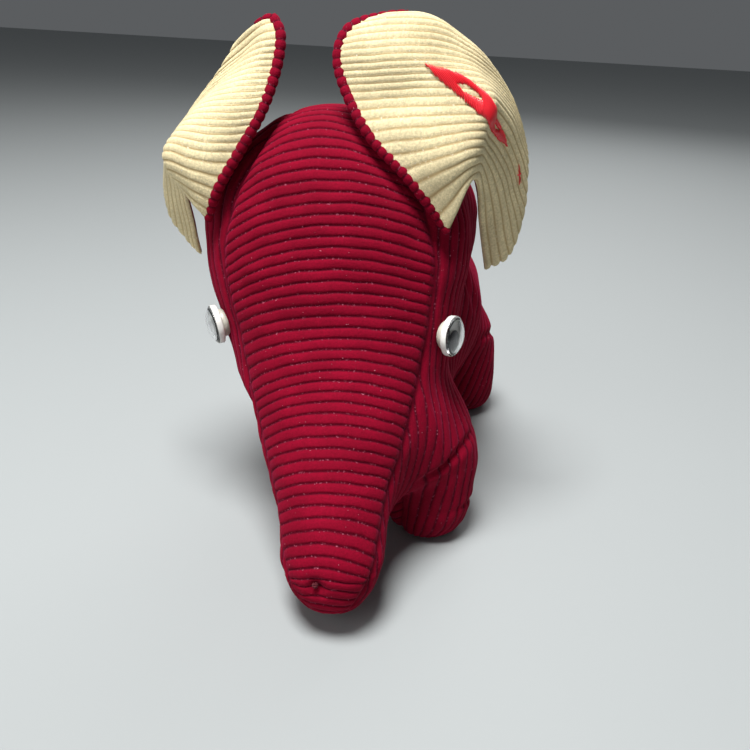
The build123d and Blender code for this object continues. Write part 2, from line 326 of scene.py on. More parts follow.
# ---- middle line of the head gusset, and what is measured from it ---------------------------------
def middle_line():
    front, back = [], []
    for y, z, slope, _, b in HEAD_RINGS:
        s, c = math.sin(math.radians(slope)), math.cos(math.radians(slope))
        front.append((y - s * b, z + c * b))
        back.append((y + s * b, z - c * b))
    y, z, slope = HEAD_RINGS[0][:3]
    tip = (y - 2.0 * math.cos(math.radians(slope)), z - 2.0 * math.sin(math.radians(slope)))
    crown = (1.0, 130.3)
    points = [tip] + front + [crown, back[-2], back[-3]]
    rows = np.column_stack([np.array(points), SEAM_CHORD])
    dense = catmull(rows, 20)
    step = np.linalg.norm(np.diff(dense[:, :2], axis=0), axis=1)
    return dense[:, :2], dense[:, 2], np.concatenate([[0], np.cumsum(step)])


MIDDLE, CHORD, ALONG = middle_line()


def along_middle(p):
    """For each point: length along the middle line, distance from it, and the seam's distance."""
    along = np.empty(len(p))
    away = np.empty(len(p))
    seam = np.empty(len(p))
    for start in range(0, len(p), 20000):
        q = p[start:start + 20000]
        gap = ((q[:, None, 1:] - MIDDLE[None]) ** 2).sum(2)
        near = gap.argmin(1)
        best = np.full(len(q), np.inf)
        for shift in (-1, 0):
            i = np.clip(near + shift, 0, len(MIDDLE) - 2)
            a, b = MIDDLE[i], MIDDLE[i + 1]
            t = np.clip(((q[:, 1:] - a) * (b - a)).sum(1) / ((b - a) ** 2).sum(1), 0, 1)
            d = np.linalg.norm(q[:, 1:] - a - t[:, None] * (b - a), axis=1)
            better = d < best
            best = np.where(better, d, best)
            span = slice(start, start + len(q))
            along[span] = np.where(better, ALONG[i] + t * (ALONG[i + 1] - ALONG[i]), along[span])
            seam[span] = np.where(better, CHORD[i] + t * (CHORD[i + 1] - CHORD[i]), seam[span])
        away[start:start + len(q)] = np.hypot(q[:, 0], best)
    return along, away, seam


def gusset_wales(p, along):
    """Wales run across the gusset, arched, and in chevrons towards the pucker at the trunk's end."""
    near_end = 1 - smoothstep(along, 4, 45)
    arch = 0.0045 + 0.003 * smoothstep(along, 55, 110) + 0.022 * near_end
    return along + arch * (p[:, 0] + 4.0 * near_end) ** 2


def side_wales(p):
    """Wales run down the side, and round the front and back of each leg at the same pitch."""
    x, y, z = np.abs(p[:, 0]), p[:, 1], p[:, 2]
    across = y.copy()
    for foot, hip, radius in ((FRONT_FOOT, FRONT_HIP, 16.0), (HIND_FOOT, HIND_HIP, 17.5)):
        share = np.clip(z / LEG_TOP, 0, 1)
        dx = x - (foot[0] + (hip[0] - foot[0]) * share)
        dy = y - (foot[1] + (hip[1] - foot[1]) * share)
        wrapped = y - dy + radius * np.arctan2(dy, np.maximum(dx, -radius) + 0.25 * radius)
        near = (1 - smoothstep(z, 26, 50)) * (1 - smoothstep(np.hypot(dx, dy), radius + 3, radius + 12))
        across += near * (wrapped - y)
    return across - 0.30 * z


def under_wales(p):
    return np.abs(p[:, 0]) - p[:, 2]


def wale_height(phase):
    """Broad rounded crown with a narrow groove, 0 to 1."""
    across = np.abs(2 * (phase - np.floor(phase)) - 1)
    return 1 - across ** 2.8


def wobble(p, scale, seed):
    """Slow random waves, from -1 to 1."""
    rng = np.random.default_rng(seed)
    out = np.zeros(len(p))
    for _ in range(5):
        direction = rng.normal(size=3)
        direction *= 2 * math.pi / (scale * np.linalg.norm(direction) * rng.uniform(0.7, 1.4))
        out += np.sin(p @ direction + rng.uniform(0, 2 * math.pi))
    return out / 5


def fold(depth, gap, width, ease):
    """A crease with soft bulges on either side of it."""
    bulge = 0.45 * np.exp(-(gap / (2.6 * width)) ** 2)
    return -depth * (np.exp(-(gap / width) ** 2) - bulge) * ease


def creases(p):
    """Where the stuffing has slumped: across the legs, over the front feet and at the neck."""
    x, y, z = p[:, 0], p[:, 1], p[:, 2]
    out = np.zeros(len(p))
    for side, high, low in ((1, 33.0, 11.0), (-1, 37.0, 13.0)):
        own = smoothstep(x * side, 2, 9)
        bend = 1.2 * np.sin(0.22 * y + side)
        front = own * (1 - smoothstep(y, -14, 0)) * smoothstep(y, -45, -36)
        out += fold(1.7, z - high - 0.22 * (y + 22) - bend, 1.5, front * (1 - smoothstep(y, -24, -8)))
        out += fold(1.0, z - low + 0.15 * (y + 22) - bend, 1.2, front * smoothstep(y, -36, -26))
        hind = own * smoothstep(y, 44, 54)
        out += fold(1.2, z - high - 2 + 0.3 * (y - 64) - bend, 1.7, hind * (1 - smoothstep(y, 68, 80)))
    neck = smoothstep(z, 50, 66) * (1 - smoothstep(z, 88, 100)) * smoothstep(np.abs(x), 8, 20)
    out += fold(1.3, y - 24 + 0.25 * (z - 70) + 1.5 * np.sin(0.13 * z), 2.2, neck)
    return out


def ear_seam_pull(p):
    """1 on the line where either ear is sewn on, fading to 0 a few millimetres away."""
    pull = np.zeros(len(p))
    for net, side in ((EAR_LEFT, 1), (EAR_RIGHT, -1)):
        line = catmull([np.array(row[0]) * [side, 1, 1] for row in net[:4]], 8)
        gap = np.full(len(p), np.inf)
        for point in line:
            gap = np.minimum(gap, np.linalg.norm(p - point, axis=1))
        pull = np.maximum(pull, np.exp(-(gap / 5.0) ** 2))
    return pull


PANELS = ["head_gusset", "side_panel_left", "side_panel_right",
          "under_gusset_left", "under_gusset_right"]


SEAM_PINCH, SEAM_PINCH_REACH = 0.75, 2.6        # how far the cloth is drawn in at a seam
PUCKER_DEPTH, PUCKER_WIDTH = 2.6, 2.3           # the drawn-up end of the trunk


def cover_panels():
    verts, faces, normals = cover_form()
    along, away, chord = along_middle(verts)
    gusset_gap = away - chord
    y, z, x = verts[:, 1], verts[:, 2], verts[:, 0]
    edge = UNDER_EDGE[0] + (UNDER_EDGE[1] - UNDER_EDGE[0]) * (y + 22) / 91
    under_gap = np.maximum.reduce([np.abs(x) - edge, z - UNDER_TOP, CHEST_Y - y])
    middle = verts[faces].mean(1)
    gap_face = gusset_gap[faces].mean(1)
    under_face = under_gap[faces].mean(1)
    panel = np.where(middle[:, 0] > 0, 1, 2)
    panel = np.where(under_face < 0, np.where(middle[:, 0] > 0, 3, 4), panel)
    panel = np.where(gap_face < 0, 0, panel)

    low = np.full(len(verts), len(PANELS))
    high = np.full(len(verts), -1)
    for corner in range(4):
        np.minimum.at(low, faces[:, corner], panel)
        np.maximum.at(high, faces[:, corner], panel)
    shared = low != high

    middle_gap = np.where(gusset_gap < 0, FAR, np.abs(x))
    seam = np.minimum.reduce([np.abs(gusset_gap), np.abs(under_gap), middle_gap])
    coordinate = {
        0: gusset_wales(verts, along) / RED_PITCH,
        1: side_wales(verts) / RED_PITCH,
        3: under_wales(verts) / RED_PITCH,
    }
    coordinate[2] = coordinate[1]
    coordinate[4] = coordinate[3]
    drift = 0.22 * wobble(verts, 26, 3) + 0.08 * wobble(verts, 9, 4)
    flat = smoothstep(seam, 0.15, 1.5)
    pinch = -SEAM_PINCH * (1 - smoothstep(seam, 0.0, SEAM_PINCH_REACH)) * (1 + 0.35 * wobble(verts, 7, 5))
    slump = 0.6 * wobble(verts, 24, 6) + 0.30 * wobble(verts, 12, 8) + creases(verts)
    slump -= EAR_SEAM_DEPTH * ear_seam_pull(verts)
    tip = verts[np.linalg.norm(verts - KNOT, axis=1).argmin()]
    KNOT[:] = tip
    from_tip = np.linalg.norm(verts - tip, axis=1)
    pucker = -PUCKER_DEPTH * np.exp(-(from_tip / PUCKER_WIDTH) ** 2)

    made = {}
    for index, name in enumerate(PANELS):
        own = panel == index
        used = np.unique(faces[own])
        lookup = np.full(len(verts), -1)
        lookup[used] = np.arange(len(used))
        phase = coordinate[index][used] + drift[used]
        height = RED_PILE * (wale_height(phase) - 0.6) * flat[used]
        height = np.where(shared[used], 0.0, height)
        p = verts[used] + normals[used] * (height + pinch[used] + slump[used] + pucker[used])[:, None]
        p = posed(p)
        p[:, 2] = np.maximum(p[:, 2], 0.0)
        obj = mesh_object(name + "_cloth", p, lookup[faces[own]])
        add_attribute(obj, "wale", phase)
        add_attribute(obj, "seam", seam[used])
        made[name] = obj
    return made


def add_attribute(obj, name, values):
    layer = obj.data.attributes.new(name, "FLOAT", "POINT")
    layer.data.foreach_set("value", np.asarray(values, float))


# ---- materials --------------------------------------------------------------------------------------
def new_material(name):
    material = bpy.data.materials.new(name)
    material.use_nodes = True
    tree = material.node_tree
    shader = tree.nodes["Principled BSDF"]
    return material, tree, shader


def node(tree, kind, **values):
    made = tree.nodes.new(kind)
    for key, value in values.items():
        setattr(made, key, value)
    return made


def maths(tree, operation, a, b=None, c=None):
    made = node(tree, "ShaderNodeMath", operation=operation)
    for index, value in enumerate((a, b, c)):
        if value is None:
            continue
        if isinstance(value, (int, float)):
            made.inputs[index].default_value = value
        else:
            tree.links.new(value, made.inputs[index])
    return made.outputs[0]


def ramp(tree, value, low, high, out_low=0.0, out_high=1.0):
    made = node(tree, "ShaderNodeMapRange", interpolation_type="SMOOTHSTEP")
    tree.links.new(value, made.inputs["Value"])
    limits = {"From Min": low, "From Max": high, "To Min": out_low, "To Max": out_high}
    for socket, number in limits.items():
        made.inputs[socket].default_value = number
    return made.outputs[0]


def noise(tree, coordinates, scale, detail=2.0, roughness=0.5):
    made = node(tree, "ShaderNodeTexNoise")
    made.inputs["Scale"].default_value = scale
    made.inputs["Detail"].default_value = detail
    made.inputs["Roughness"].default_value = roughness
    tree.links.new(coordinates, made.inputs["Vector"])
    return made.outputs["Fac"]


def mixed(tree, factor, a, b, blend="MIX"):
    made = node(tree, "ShaderNodeMix", data_type="RGBA", blend_type=blend)
    for index, value in ((0, factor), (6, a), (7, b)):
        if isinstance(value, (int, float)):
            made.inputs[index].default_value = value
        elif isinstance(value, tuple):
            made.inputs[index].default_value = (*value, 1.0)
        else:
            tree.links.new(value, made.inputs[index])
    return made.outputs[2]


def corduroy(name, crown, groove, speck, sheen, sheen_tint, dirt, grain):
    """Pile cloth: bright crowns, grooves darkened with painted shade and flecked with backing, lint, soft
    sheen, and painted shade along each seam.
    """
    material, tree, shader = new_material(name)
    place = node(tree, "ShaderNodeTexCoord").outputs["Object"]
    wale = node(tree, "ShaderNodeAttribute", attribute_name="wale").outputs["Fac"]
    seam = node(tree, "ShaderNodeAttribute", attribute_name="seam").outputs["Fac"]
    fine = noise(tree, place, 5200, 2.0)
    pile = noise(tree, place, 1500, 3.0, 0.6)
    patch = noise(tree, place, 95, 3.0, 0.55)
    wander = maths(tree, "MULTIPLY_ADD", maths(tree, "SUBTRACT", pile, 0.5), 0.10, wale)
    across = maths(tree, "ABSOLUTE", maths(tree, "MULTIPLY_ADD", maths(tree, "FRACT", wander), 2.0, -1.0))
    # deep is the painted groove shade mask, 0 on a wale's crown and 1 in its groove; it also deepens the
    # bump
    deep = ramp(tree, across, 0.58, 1.04)
    body = mixed(tree, ramp(tree, patch, 0.32, 0.72), tuple(0.80 * c for c in crown), crown)
    body = mixed(tree, ramp(tree, pile, 0.30, 0.75, 0.0, grain), body, tuple(0.50 * c for c in crown))
    body = mixed(tree, ramp(tree, fine, 0.50, 0.66, 0.0, grain), body, tuple(0.55 * c for c in crown))
    # painted shade: the grooves between the wales are darkened to the groove colour
    body = mixed(tree, deep, body, groove)
    tufts = ramp(tree, pile, 0.56, 0.68, 0.0, 0.50)
    flecks = maths(tree, "MULTIPLY", ramp(tree, across, 0.70, 0.92), tufts)
    body = mixed(tree, flecks, body, speck)
    lint = ramp(tree, noise(tree, place, 1500, 1.0), 0.775, 0.80, 0.0, 0.6)
    body = mixed(tree, lint, body, tuple(min(1.0, 1.4 * c + 0.10) for c in speck))
    stain = ramp(tree, noise(tree, place, 38, 2.0), 0.60, 0.80, 0.0, dirt)
    body = mixed(tree, stain, body, tuple(0.5 * c for c in groove))
    # painted shade along the seams, where the cloth is drawn in: up to 0.55 of the way to the groove
    # colour
    line = ramp(tree, seam, 0.05, 0.9, 0.55, 0.0)
    body = mixed(tree, line, body, groove)
    tree.links.new(body, shader.inputs["Base Color"])
    shader.inputs["Roughness"].default_value = 0.88
    shader.inputs["Specular IOR Level"].default_value = 0.08
    shader.inputs["Sheen Weight"].default_value = sheen
    shader.inputs["Sheen Roughness"].default_value = 0.38
    shader.inputs["Sheen Tint"].default_value = (*sheen_tint, 1.0)
    height = maths(tree, "MULTIPLY_ADD", fine, 0.35, pile)
    height = maths(tree, "MULTIPLY_ADD", deep, -1.2, height)
    bump = node(tree, "ShaderNodeBump")
    bump.inputs["Strength"].default_value = 0.55
    bump.inputs["Distance"].default_value = 0.00022
    tree.links.new(height, bump.inputs["Height"])
    tree.links.new(bump.outputs[0], shader.inputs["Normal"])
    return material


def plain_material(name, color, roughness, coat=0.0, transmission=0.0, ior=1.5,
                   bump_scale=0.0, bump_by=0.0):
    material, tree, shader = new_material(name)
    place = node(tree, "ShaderNodeTexCoord").outputs["Object"]
    tone = noise(tree, place, 400, 3.0)
    body = mixed(tree, ramp(tree, tone, 0.3, 0.7), tuple(0.86 * c for c in color), color)
    tree.links.new(body, shader.inputs["Base Color"])
    shader.inputs["Roughness"].default_value = roughness
    shader.inputs["Coat Weight"].default_value = coat
    shader.inputs["Transmission Weight"].default_value = transmission
    shader.inputs["IOR"].default_value = ior
    if bump_scale:
        bump = node(tree, "ShaderNodeBump")
        bump.inputs["Strength"].default_value = 0.5
        bump.inputs["Distance"].default_value = bump_by
        tree.links.new(noise(tree, place, bump_scale, 4.0), bump.inputs["Height"])
        tree.links.new(bump.outputs[0], shader.inputs["Normal"])
    return material


# Each groove colour is painted shade, for the grooves between the wales and along the seams
RED = corduroy("red_corduroy_cloth", crown=(0.26, 0.0015, 0.019), groove=(0.070, 0.0006, 0.008),
               speck=(0.46, 0.10, 0.16), sheen=0.16, sheen_tint=(0.80, 0.05, 0.22), dirt=0.0, grain=0.45)
CREAM = corduroy("cream_corduroy_cloth", crown=(0.98, 0.83, 0.50), groove=(0.48, 0.34, 0.16),
                 speck=(0.92, 0.84, 0.64), sheen=0.12, sheen_tint=(1.0, 0.93, 0.80), dirt=0.22, grain=0.75)
THREAD = plain_material("satin_thread", (0.78, 0.012, 0.025), 0.35, 0.2,
                        bump_scale=2500, bump_by=0.00008)
WHITE = plain_material("eye_white_plastic", (0.86, 0.85, 0.80), 0.28, 0.3,
                       bump_scale=300, bump_by=0.00002)
CLEAR = plain_material("eye_clear_plastic", (1.0, 1.0, 1.0), 0.03, 0.0, 1.0, 1.46)
BLACK = plain_material("pupil_black", (0.012, 0.012, 0.014), 0.35, 0.1, bump_scale=900, bump_by=0.00001)
GLUE = plain_material("hot_glue", (0.80, 0.78, 0.66), 0.3, 0.0, 0.3, bump_scale=500, bump_by=0.0001)
THREAD_DULL = plain_material("cotton_thread", (0.10, 0.004, 0.012), 0.9)
FIBRE = plain_material("stuffing_fibre", (0.86, 0.85, 0.82), 0.95, bump_scale=900, bump_by=0.0006)
FIBRE.node_tree.nodes["Principled BSDF"].inputs["Sheen Weight"].default_value = 0.4


def dress(obj, material):
    obj.data.materials.clear()
    obj.data.materials.append(material)


# ---- camera, light and floor -------------------------------------------------------------------------
def studio():
    bpy.context.scene.view_settings.view_transform = "Standard"
    data = bpy.data.cameras.new("camera")
    camera = bpy.data.objects.new("camera", data)
    bpy.context.scene.collection.objects.link(camera)
    yaw, pitch, roll = math.radians(-5.85), math.radians(26.1), math.radians(-3.09)
    ahead = np.array([math.sin(yaw) * math.cos(pitch), math.cos(yaw) * math.cos(pitch), -math.sin(pitch)])
    right = np.array([math.cos(yaw), -math.sin(yaw), 0.0])
    down = np.cross(ahead, right)
    right, down = (math.cos(roll) * right + math.sin(roll) * down,
                   -math.sin(roll) * right + math.cos(roll) * down)
    place = np.array([36.0, -231.35, 154.4]) * MM
    rows = [[right[i], -down[i], -ahead[i], place[i]] for i in range(3)]
    camera.matrix_world = Matrix(rows + [[0, 0, 0, 1]])
    data.sensor_width = 36.0
    data.lens = 36.1
    data.clip_start = 0.005
    bpy.context.scene.camera = camera

    def area(name, at, to, size, power):
        light = bpy.data.lights.new(name, "AREA")
        light.shape = "DISK"
        light.size = size
        light.energy = power
        lamp = bpy.data.objects.new(name, light)
        bpy.context.scene.collection.objects.link(lamp)
        back = np.array(at, float) - np.array(to, float)
        back /= np.linalg.norm(back)
        side = np.cross([0, 0, 1.0], back)
        side /= np.linalg.norm(side)
        up = np.cross(back, side)
        rows = [[side[i], up[i], back[i], at[i]] for i in range(3)]
        lamp.matrix_world = Matrix(rows + [[0, 0, 0, 1]])

    area("key", (-0.10, -0.16, 0.85), (0, 0, 0.07), 0.35, 12.0)
    area("fill", (-0.5, -0.7, 0.5), (0, 0, 0.06), 0.8, 2.2)
    area("rim", (0.2, 0.75, 0.6), (0, 0, 0.06), 0.6, 2.6)

    world = bpy.data.worlds.new("world")
    bpy.context.scene.world = world
    world.use_nodes = True
    world.node_tree.nodes["Background"].inputs[0].default_value = (0.80, 0.84, 0.88, 1)
    world.node_tree.nodes["Background"].inputs[1].default_value = 0.13

    half = 3000
    corners = [(-half, -half, 0), (half, -half, 0), (half, half, 0), (-half, half, 0)]
    floor = mesh_object("floor", corners, [(0, 1, 2, 3)], smooth=False)
    material, tree, shader = new_material("floor_paper")
    shader.inputs["Base Color"].default_value = (0.35, 0.37, 0.37, 1)
    shader.inputs["Roughness"].default_value = 0.7
    floor.data.materials.append(material)


# ---- ears ---------------------------------------------------------------------------------------------
# Rows from the ear's lower corner to its tip. Columns: inner edge, middle of the front flap,
# ridge where the ear folds back, bottom of that fold, hanging part, hem. Straight head, left side.
EAR_LEFT = [
    [(34.5, -20.5, 94), (37.5, -20, 100), (41.5, -17, 107.5),
     (43.5, -6, 103), (44, 3, 90), (45.5, 8, 74)],
    [(25, -21, 109), (33, -21.5, 112), (42.5, -17.5, 114.5),
     (45.5, -8, 111.5), (50, 2, 98), (53.5, 9, 78)],
    [(14, -17, 121), (29, -19, 122), (44, -14.5, 121.5), (46.5, -8, 119), (52.5, 2, 108), (58, 10, 90)],
    [(8, -12, 131), (27, -14.5, 130.5), (45, -11, 128.5),
     (49.5, -6, 126), (54.5, 1, 118), (59, 7, 106)],
    [(5.5, -8, 141), (22, -11, 141), (37, -8, 139), (44.5, -4, 135.5), (52, 1, 128.5), (57, 4, 119)],
    [(9, -5, 148), (21, -6, 149), (32, -4.5, 148), (39.5, -2.5, 144), (46, 0, 138), (51, 2, 131)],
    [(18, -3, 150.5), (23, -2.5, 151), (28, -1.5, 150.5),
     (33, -0.5, 148.5), (37.5, 1, 145.5), (41, 2, 142)],
]
EAR_RIGHT = [
    [(34.5, -17.5, 101), (37.5, -16.5, 105), (41.5, -13, 110),
     (44, -5, 107), (46, 2, 98), (47.5, 8, 84)],
    [(29.5, -18.5, 110), (36, -18.5, 113), (44, -14.5, 116),
     (46, -7, 113), (49.5, 2, 103), (51.5, 9, 89)],
    [(22.5, -16.5, 119), (32, -17.5, 120), (43, -14, 122), (46.5, -7, 119), (52, 2, 110), (56, 9, 98)],
    [(15, -12.5, 129.5), (24.5, -14, 129.5), (34.5, -11.5, 129.5),
     (41, -5, 127), (48, 1, 121), (53, 6, 113)],
    [(10.5, -8, 140), (16.5, -8.5, 140), (23, -6, 138.5),
     (29.5, -2, 136), (37, 0.5, 132), (43, 3, 127)],
    [(9, -5, 148), (12.5, -5.5, 148), (16, -4, 147),
     (20, -1.5, 145), (25.5, 0.5, 142), (31.5, 2, 138.5)],
    [(11, -2, 152.5), (13, -2, 152.7), (15.5, -1.5, 152),
     (18, -0.5, 151), (20.5, 0.5, 149.5), (23.5, 1.5, 147)],
]
EAR_HALF = 0.85                # middle of the ear to the base of either layer's pile
HEM_SCALLOP = 1.1              # how far the wales jut out at the hem
BORDER = 1.55                  # radius of the rolled red edge
CORD_SIDES = 16
EDGE_ROUND = 1.6               # width over which an ear's cloth rounds off at its edge


def net_surface(net, row_steps, col_steps):
    """Smooth grid of points through a net of points."""
    rows, cols, _ = net.shape
    a = catmull(net.reshape(rows, cols * 3), row_steps).reshape(-1, cols, 3)
    b = np.transpose(a, (1, 0, 2)).reshape(cols, -1)
    return np.transpose(catmull(b, col_steps).reshape(-1, a.shape[0], 3), (1, 0, 2))


def run_lengths(grid, axis):
    """Length along the lines of a grid, from its first row or column."""
    steps = np.linalg.norm(np.diff(grid, axis=axis), axis=2)
    start = np.zeros_like(steps.take([0], axis=axis))
    return np.concatenate([start, np.cumsum(steps, axis=axis)], axis=axis)


def grid_normals(grid, toward):
    normal = np.cross(np.gradient(grid, axis=0), np.gradient(grid, axis=1))
    normal /= np.maximum(np.linalg.norm(normal, axis=2, keepdims=True), 1e-9)
    return -normal if (normal.mean((0, 1)) @ toward) < 0 else normal


def beaded_cord(path, radius, pitch):
    """A closed tube along a path, with a bead for each wale that wraps over it."""
    run = np.concatenate([[0], np.cumsum(np.linalg.norm(np.diff(path, axis=0), axis=1))])
    count = int(run[-1] / 0.3)
    at = np.linspace(0, run[-1], count)
    path = np.stack([np.interp(at, run, path[:, k]) for k in range(3)], 1)
    radius = np.interp(at, run, radius)
    along = np.gradient(path, axis=0)
    along /= np.linalg.norm(along, axis=1, keepdims=True)
    side = np.cross(along, [0.0, -1.0, 0.2])
    side /= np.linalg.norm(side, axis=1, keepdims=True)
    up = np.cross(side, along)
    swell = radius * (1 + 0.24 * (wale_height(at / pitch) - 0.7))
    angles = np.arange(CORD_SIDES) / CORD_SIDES * 2 * math.pi
    rings = [path[k] + swell[k] * (np.cos(angles)[:, None] * side[k] + np.sin(angles)[:, None] * up[k])
             for k in range(count)]
    verts, faces = tube(rings)
    phase = np.concatenate([np.repeat(at / pitch, CORD_SIDES), [0.5, 0.5]])
    return verts, faces, phase


def ear(word, net, side):
    net = np.array(net, float) * [side, 1, 1]
    grid = net_surface(net, 44, 15)
    normals = grid_normals(grid, np.array([0, -1.0, 0]))
    down_rows, across = run_lengths(grid, 0), run_lengths(grid, 1)
    to_hem = across[:, -1:] - across
    ends = np.minimum.reduce([down_rows, down_rows[-1:] - down_rows, across, to_hem])
    round_off = np.sqrt(np.clip(1 - (1 - np.clip(ends / EDGE_ROUND, 0, 1)) ** 2, 0, 1))
    mid = down_rows[:, 30]
    rows, cols = grid.shape[:2]
    flat_points = grid.reshape(-1, 3)
    slack = 0.35 * wobble(flat_points, 17, 21).reshape(rows, cols) * round_off
    drift = (0.35 * wobble(flat_points, 30, 22) + 0.10 * wobble(flat_points, 8, 23)).reshape(rows, cols)
    outward = grid[:, -1] - grid[:, -3]
    outward /= np.linalg.norm(outward, axis=1, keepdims=True)
    reach = HEM_SCALLOP * (wale_height(mid[:, None] / CREAM_PITCH + drift * 0.8) - 0.5)
    reach *= np.clip(1 - to_hem / 2.0, 0, 1)
    faces = grid_faces(rows, cols)
    out = {}
    layers = (("lining", 1, CREAM_PITCH, CREAM_PILE), ("back", -1, RED_PITCH, RED_PILE))
    for name, way, pitch, pile in layers:
        phase = mid[:, None] / pitch + drift * 0.8
        lift = EAR_HALF * round_off + pile * (wale_height(phase) - 0.5) * np.clip(ends / 0.8, 0.25, 1)
        points = grid + normals * (way * lift + slack)[..., None] + reach[..., None] * outward[:, None]
        points = points.reshape(-1, 3)
        flipped = [f[::-1] for f in faces] if way * side > 0 else faces
        phase, edge = phase.ravel(), np.full(points.shape[0], FAR)
        if name == "back":
            top = int((cols - 1) * (0.34 if side > 0 else 0.5))
            path = np.vstack([grid[:, 1], grid[-2, 2:top]])
            run = np.linspace(0, 1, len(path))
            radius = BORDER * (0.75 + 0.25 * smoothstep(run, 0, 0.12))
            radius = radius * (1 - 0.45 * smoothstep(run, 0.85, 1))
            cord_points, cord_faces, cord_phase = beaded_cord(path, radius, BEAD_PITCH)
            flipped = list(flipped) + [tuple(k + len(points) for k in f) for f in cord_faces]
            points = np.vstack([points, cord_points])
            phase = np.concatenate([phase, cord_phase])
            edge = np.concatenate([edge, np.full(len(cord_points), FAR)])
        obj = mesh_object("ear_%s_%s_cloth" % (name, word), posed_head(points), flipped)
        add_attribute(obj, "wale", phase)
        add_attribute(obj, "seam", edge)
        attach(obj, "ear_" + word)
        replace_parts(obj, "ear_%s_%s" % (name, word))
        if name == "back":
            dress(obj, RED)
        else:
            dress(obj, CREAM)
        out[name] = obj
    return out, grid, normals


# Outline of the satin-stitched leaf, of the bare slits in it, and the loose stitches below it,
# in steps of the ear's net: (row, column)
LEAF = [(3.74, 1.40), (3.66, 1.68), (3.50, 1.90), (3.18, 2.08), (2.80, 2.32), (2.52, 3.00),
        (2.44, 3.55), (2.28, 3.75), (2.10, 3.35), (2.12, 2.30), (2.42, 1.88), (2.78, 1.66),
        (3.08, 1.54), (3.42, 1.44)]
SLITS = [[(3.28, 1.66), (3.30, 1.80), (3.12, 1.90), (2.88, 1.97), (2.95, 1.84), (3.12, 1.68)],
         [(2.38, 2.90), (2.36, 3.27), (2.27, 3.10)]]
LOOSE_STITCHES = [((2.48, 4.36), (2.18, 4.52)), ((2.36, 4.36), (2.30, 4.58)), ((2.24, 4.38), (2.44, 4.50))]
STITCH_STEP = 0.028            # from stitch to stitch, in columns of the net
STITCH_RADIUS = 0.27


def on_grid(grid, row, col):
    """Point of a grid at a fractional row and column."""
    i, j = min(int(row), grid.shape[0] - 2), min(int(col), grid.shape[1] - 2)
    u, v = row - i, col - j
    low = grid[i, j] * (1 - v) + grid[i, j + 1] * v
    high = grid[i + 1, j] * (1 - v) + grid[i + 1, j + 1] * v
    return low * (1 - u) + high * u


def leaf_rows(col):
    """Rows between which thread covers the leaf at a column."""
    crossings = []
    for outline in [LEAF] + SLITS:
        for (r0, c0), (r1, c1) in zip(outline, outline[1:] + outline[:1]):
            if (c0 - col) * (c1 - col) < 0:
                crossings.append(r0 + (col - c0) / (c1 - c0) * (r1 - r0))
    crossings.sort()
    return zip(crossings[::2], crossings[1::2])


STITCH_SIDES, STITCH_RINGS = 6, 9
STITCH_END = 0.12              # radius where a stitch goes into the cloth
STITCH_LIFT = 0.30             # a stitch's height over the cloth at its ends, and its rise between


def leaf_stitches(grid, normals):
    """Satin stitches laid side by side across the leaf, each a short raised thread."""
    per_row, per_col = (grid.shape[0] - 1) / 6, (grid.shape[1] - 1) / 5
    angles = np.arange(STITCH_SIDES) / STITCH_SIDES * 2 * math.pi
    columns = [c for _, c in LEAF]
    stitches = list(LOOSE_STITCHES)
    for col in np.arange(min(columns) + 0.01, max(columns), STITCH_STEP):
        for low, high in leaf_rows(col):
            low += RNG.uniform(-0.02, 0.02)
            high += RNG.uniform(-0.02, 0.02)
            stitches.append(((low, col), (high, col + 0.0013)))
    verts, faces = [], []
    for start, end in stitches:
        base = len(verts)
        for share in np.linspace(0, 1, STITCH_RINGS):
            row = (start[0] + share * (end[0] - start[0])) * per_row
            col = (start[1] + share * (end[1] - start[1])) * per_col
            normal = on_grid(normals, row, col)
            lift = EAR_HALF + STITCH_LIFT + STITCH_LIFT * math.sin(math.pi * share)
            centre = on_grid(grid, row, col) + normal * lift
            side = on_grid(grid, row, col + 0.5) - on_grid(grid, row, col)
            side /= np.linalg.norm(side)
            thick = STITCH_RADIUS if 0 < share < 1 else STITCH_END
            verts += [centre + thick * (math.cos(a) * side + math.sin(a) * normal) for a in angles]
        last = base + STITCH_SIDES * (STITCH_RINGS - 1)
        faces += grid_faces(STITCH_RINGS, STITCH_SIDES, base, wrap=True)
        faces.append(tuple(base + a for a in reversed(range(STITCH_SIDES))))
        faces.append(tuple(last + a for a in range(STITCH_SIDES)))
    return mesh_object("ear_embroidery_stitches", posed_head(np.array(verts)), faces)


# ---- eyes ---------------------------------------------------------------------------------------------
EYES = {
    "left": ((32.9, -23.2, 64.5), (0.90, -0.43, 0.0), 0.9),
    "right": ((-35.8, -18.6, 69.7), (-0.88, -0.48, -0.04), 0.45),
}
EYE_RADIUS, EYE_WALL, EYE_BASE, CUP_HEIGHT, DOME_HEIGHT = 6.0, 0.8, 0.9, 1.9, 2.3
PUPIL_RADIUS, PUPIL_THICKNESS, PUPIL_DROP = 3.3, 0.7, 1.65
PUPIL_PLAY = 0.25              # between the disc and the floor of the cup


def lathe(profile, sides=64):
    """Closed surface turned from (radius, height) pairs that begin and end on the axis."""
    verts, faces = [], []
    angles = np.arange(sides) / sides * 2 * math.pi
    inner = profile[1:-1]
    for radius, height in inner:
        verts += [(radius * math.cos(a), radius * math.sin(a), height) for a in angles]
    verts += [(0, 0, profile[0][1]), (0, 0, profile[-1][1])]
    faces += grid_faces(len(inner), sides, wrap=True)
    first, last = len(verts) - 2, len(verts) - 1
    base = (len(inner) - 1) * sides
    for k in range(sides):
        n = (k + 1) % sides
        faces.append((first, n, k))
        faces.append((last, base + k, base + n))
    return np.array(verts, float), faces


